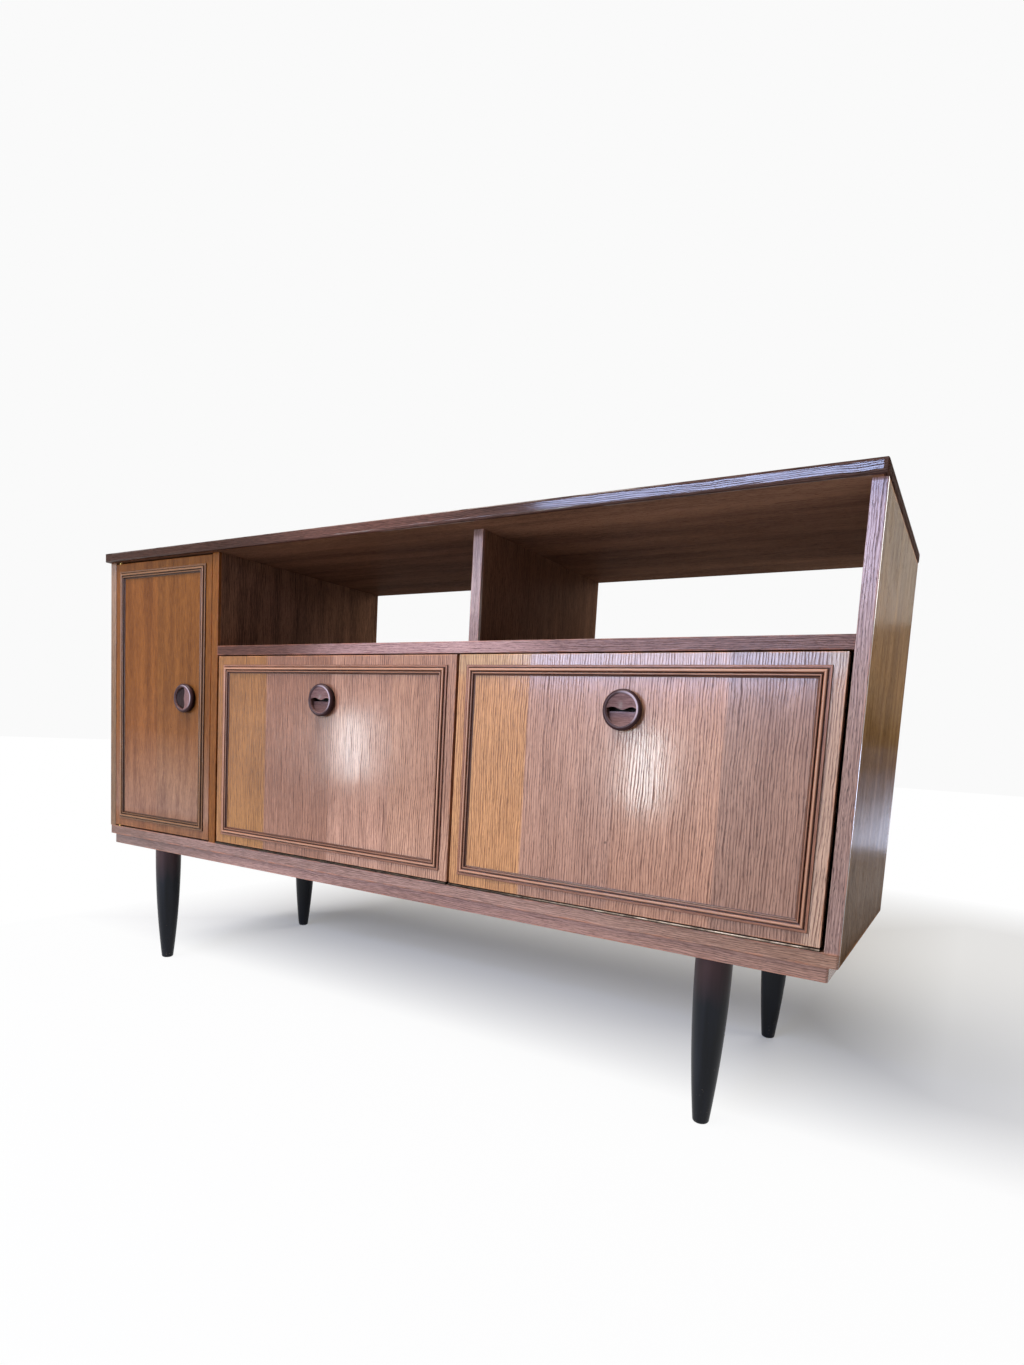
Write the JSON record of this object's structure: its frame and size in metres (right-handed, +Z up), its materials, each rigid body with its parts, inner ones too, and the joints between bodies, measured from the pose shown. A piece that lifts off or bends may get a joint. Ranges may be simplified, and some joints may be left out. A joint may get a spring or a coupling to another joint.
{
  "type": "tv cabinet",
  "caption": "Low veneered television cabinet on turned legs with a hinged door, drop-down flaps and open bays above.",
  "frame": {"origin": "on the floor, in the middle of the cabinet's width and depth", "axes": "+X to the right seen from the front, +Y to the back, +Z up"},
  "size_m": [1.502, 0.464, 0.848],
  "materials": {
    "top_veneer": "satin varnished oak veneer",
    "side_veneer": "satin varnished oak veneer",
    "front_veneer": "satin varnished oak veneer",
    "door_veneer": "satin varnished oak veneer",
    "inner_veneer": "dark stained oak veneer",
    "lipping_wood": "satin varnished solid oak",
    "plinth_wood": "satin varnished solid oak",
    "back_board": "stained plywood",
    "leg_lacquer": "near-black lacquered turned beech",
    "moulding_wood": "satin varnished solid oak",
    "pull_wood": "dark stained turned beech",
    "hinge_steel": "nickelled steel",
    "stay_steel": "nickelled steel",
    "catch_metal": "zinced steel",
    "brass": "satin brass"
  },
  "bodies": {
    "carcase": {"top_panel": "top_veneer", "top_front_lipping": "lipping_wood", "top_end_lippings": "lipping_wood", "left_side": "side_veneer", "right_side": "side_veneer", "side_lippings": "lipping_wood", "left_divider": "inner_veneer", "left_divider_lipping": "lipping_wood", "upper_divider": "inner_veneer", "upper_divider_lipping": "lipping_wood", "middle_shelf": "inner_veneer", "middle_shelf_lipping": "lipping_wood", "lower_partition": "inner_veneer", "bottom_panel": "inner_veneer", "bottom_lipping": "lipping_wood", "plinth_front_rail": "plinth_wood", "plinth_back_rail": "plinth_wood", "plinth_end_rails": "plinth_wood", "plinth_cross_rail": "plinth_wood", "cupboard_back": "back_board", "compartment_back": "back_board", "cupboard_shelf": "inner_veneer", "shelf_pins": "brass", "leg_front_left": "leg_lacquer", "leg_front_right": "leg_lacquer", "leg_back_left": "leg_lacquer", "leg_back_right": "leg_lacquer", "leg_bolts": "hinge_steel", "leg_inserts": "hinge_steel", "left_flap_fixed_leaf": "hinge_steel", "right_flap_fixed_leaf": "hinge_steel", "flap_hinge_pins": "hinge_steel", "fixed_leaf_screws": "hinge_steel", "flap_catches": "catch_metal", "door_catch": "catch_metal", "stay_wall_plates": "stay_steel", "door_pivot_pins": "brass"},
    "left_door": {"left_door": "door_veneer", "door_moulding": "moulding_wood", "door_pull": "pull_wood", "door_pivot_sockets": "brass", "door_strike": "catch_metal"},
    "left_flap": {"left_flap": "front_veneer", "left_flap_moulding": "moulding_wood", "left_flap_pull": "pull_wood", "left_flap_moving_leaf": "hinge_steel", "left_flap_screws": "hinge_steel", "left_flap_strike": "catch_metal", "left_stay_bracket": "stay_steel"},
    "right_flap": {"right_flap": "front_veneer", "right_flap_moulding": "moulding_wood", "right_flap_pull": "pull_wood", "right_flap_moving_leaf": "hinge_steel", "right_flap_screws": "hinge_steel", "right_flap_strike": "catch_metal", "right_stay_bracket": "stay_steel"},
    "left_stay_arm": {"left_stay_arm": "stay_steel"},
    "right_stay_arm": {"right_stay_arm": "stay_steel"},
    "left_stay_guide": {"left_stay_guide": "stay_steel"},
    "right_stay_guide": {"right_stay_guide": "stay_steel"}
  },
  "joints": [
    {"name": "door_pivot", "type": "hinge", "parent": "carcase", "child": "left_door", "pos_m": [-0.7205, -0.2135, 0.5515], "axis": [0, 0, -1], "range_deg": [0, 105]},
    {"name": "left_flap_hinge", "type": "hinge", "parent": "carcase", "child": "left_flap", "pos_m": [-0.11725, -0.218, 0.2753], "axis": [1, 0, 0], "range_deg": [0, 90]},
    {"name": "right_flap_hinge", "type": "hinge", "parent": "carcase", "child": "right_flap", "pos_m": [0.44725, -0.218, 0.2753], "axis": [1, 0, 0], "range_deg": [0, 90]},
    {"name": "left_stay_pivot", "type": "hinge", "parent": "left_flap", "child": "left_stay_arm", "pos_m": [-0.3935, -0.188, 0.4453], "axis": [1, 0, 0], "range_deg": [-45, 0]},
    {"name": "right_stay_pivot", "type": "hinge", "parent": "right_flap", "child": "right_stay_arm", "pos_m": [0.7235, -0.188, 0.4453], "axis": [1, 0, 0], "range_deg": [-45, 0]},
    {"name": "left_stay_swivel", "type": "hinge", "parent": "carcase", "child": "left_stay_guide", "pos_m": [-0.397, -0.09593, 0.39737], "axis": [1, 0, 0], "range_deg": [0, 45]},
    {"name": "right_stay_swivel", "type": "hinge", "parent": "carcase", "child": "right_stay_guide", "pos_m": [0.727, -0.09593, 0.39737], "axis": [1, 0, 0], "range_deg": [0, 45]}
  ],
  "couplings": [
    {"joint": "left_stay_pivot", "follows": "left_flap_hinge", "ratio": -0.5},
    {"joint": "left_stay_swivel", "follows": "left_flap_hinge", "ratio": 0.5},
    {"joint": "right_stay_pivot", "follows": "right_flap_hinge", "ratio": -0.5},
    {"joint": "right_stay_swivel", "follows": "right_flap_hinge", "ratio": 0.5}
  ]
}
